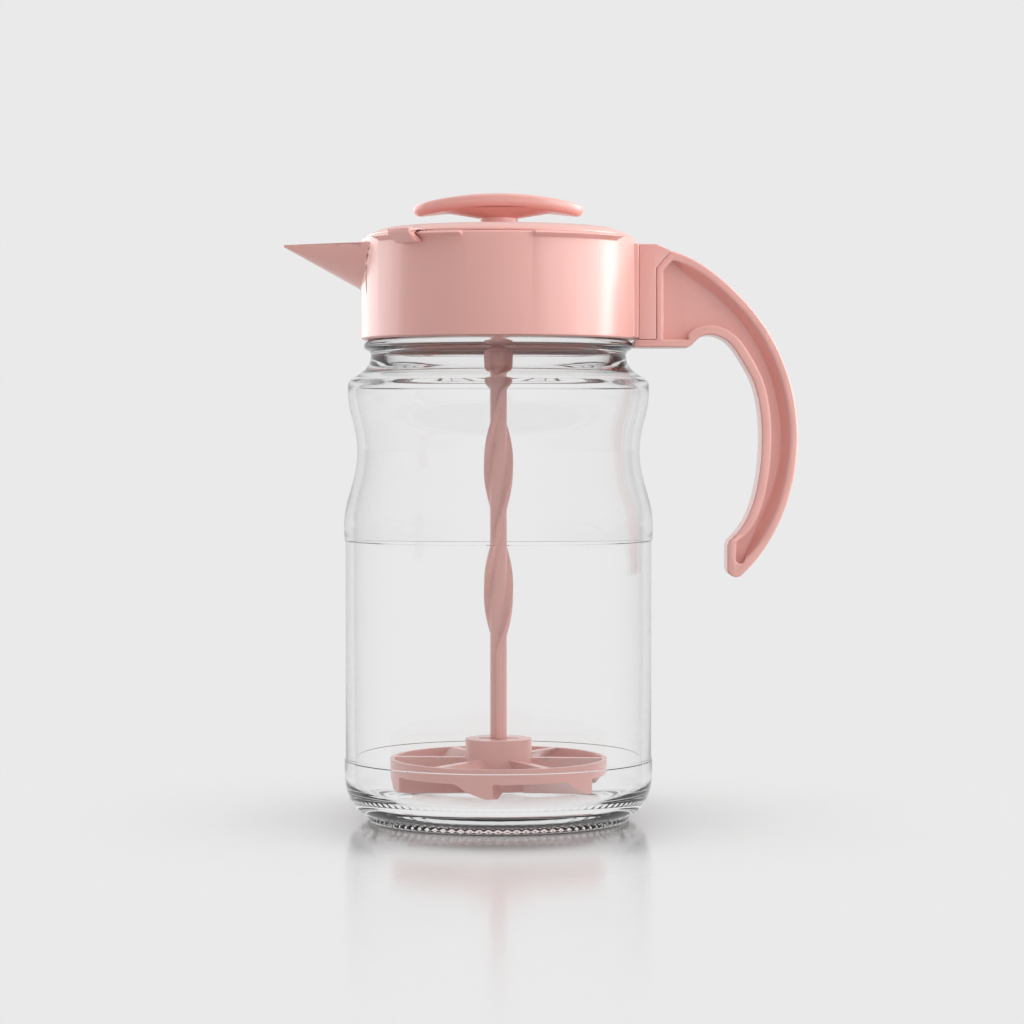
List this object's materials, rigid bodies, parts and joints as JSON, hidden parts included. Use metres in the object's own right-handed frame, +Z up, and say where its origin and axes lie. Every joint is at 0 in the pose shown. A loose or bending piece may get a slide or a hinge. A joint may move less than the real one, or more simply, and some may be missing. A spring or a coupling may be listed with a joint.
{
  "type": "baby formula mixing pitcher",
  "caption": "Glass pitcher with a screw-on head, pouring spout, open hook handle and a pull-up knob whose twisted rod spins a mixing wheel inside the jar.",
  "frame": {"origin": "on the jar's axis at the level of the surface that it stands on", "axes": "+Z up along the jar's axis, +X towards the handle, -X towards the spout"},
  "size_m": [0.1765, 0.1066, 0.2148],
  "materials": {
    "clear_glass": "clear and smooth, with a pressed ring of small dots on the base",
    "pink_plastic": "pale salmon pink, moulded, soft gloss",
    "white_silicone": "translucent white silicone, satin",
    "white_acetal": "white, satin",
    "steel": "stainless, turned"
  },
  "bodies": {
    "jar": {"glass_jar": "clear_glass"},
    "seal": {"jar_seal": "white_silicone"},
    "head": {"lid_collar": "pink_plastic", "handle_bracket": "pink_plastic", "handle": "pink_plastic", "handle_screws": "steel"},
    "cover": {"top_cover": "pink_plastic", "cover_seal": "white_silicone", "drive_nut": "white_acetal", "rod_seal": "white_silicone", "nut_retainer": "white_acetal"},
    "swivel": {"swivel_bush": "white_acetal"},
    "knob": {"knob_body": "pink_plastic", "knob_cap": "pink_plastic"},
    "rod": {"twist_rod": "pink_plastic", "swivel_washer": "steel", "swivel_screw": "steel", "mixing_wheel": "pink_plastic", "hub_plug": "pink_plastic"}
  },
  "joints": [
    {"name": "head_rise", "type": "slide", "parent": "jar", "child": "seal", "axis": [0, 0, 1], "range_m": [0, 0.0067]},
    {"name": "head_turn", "type": "hinge", "parent": "seal", "child": "head", "pos_m": [0, 0, 0.18], "axis": [0, 0, 1], "range_deg": [0, 400]},
    {"name": "cover_turn", "type": "hinge", "parent": "head", "child": "cover", "pos_m": [0, 0, 0.2], "axis": [0, 0, 1], "range_deg": [-16, 90]},
    {"name": "pump_slide", "type": "slide", "parent": "cover", "child": "swivel", "axis": [0, 0, 1], "range_m": [0, 0.13]},
    {"name": "rod_spin", "type": "hinge", "parent": "swivel", "child": "rod", "pos_m": [0, 0, 0.2], "axis": [0, 0, 1], "range_deg": [0, 552]},
    {"name": "knob_spin", "type": "hinge", "parent": "swivel", "child": "knob", "pos_m": [0, 0, 0.208], "axis": [0, 0, 1], "continuous": true}
  ],
  "couplings": [
    {"joint": "head_rise", "follows": "head_turn", "m_per_rad": 0.00095493},
    {"joint": "rod_spin", "follows": "pump_slide", "rad_per_m": 73.92}
  ]
}
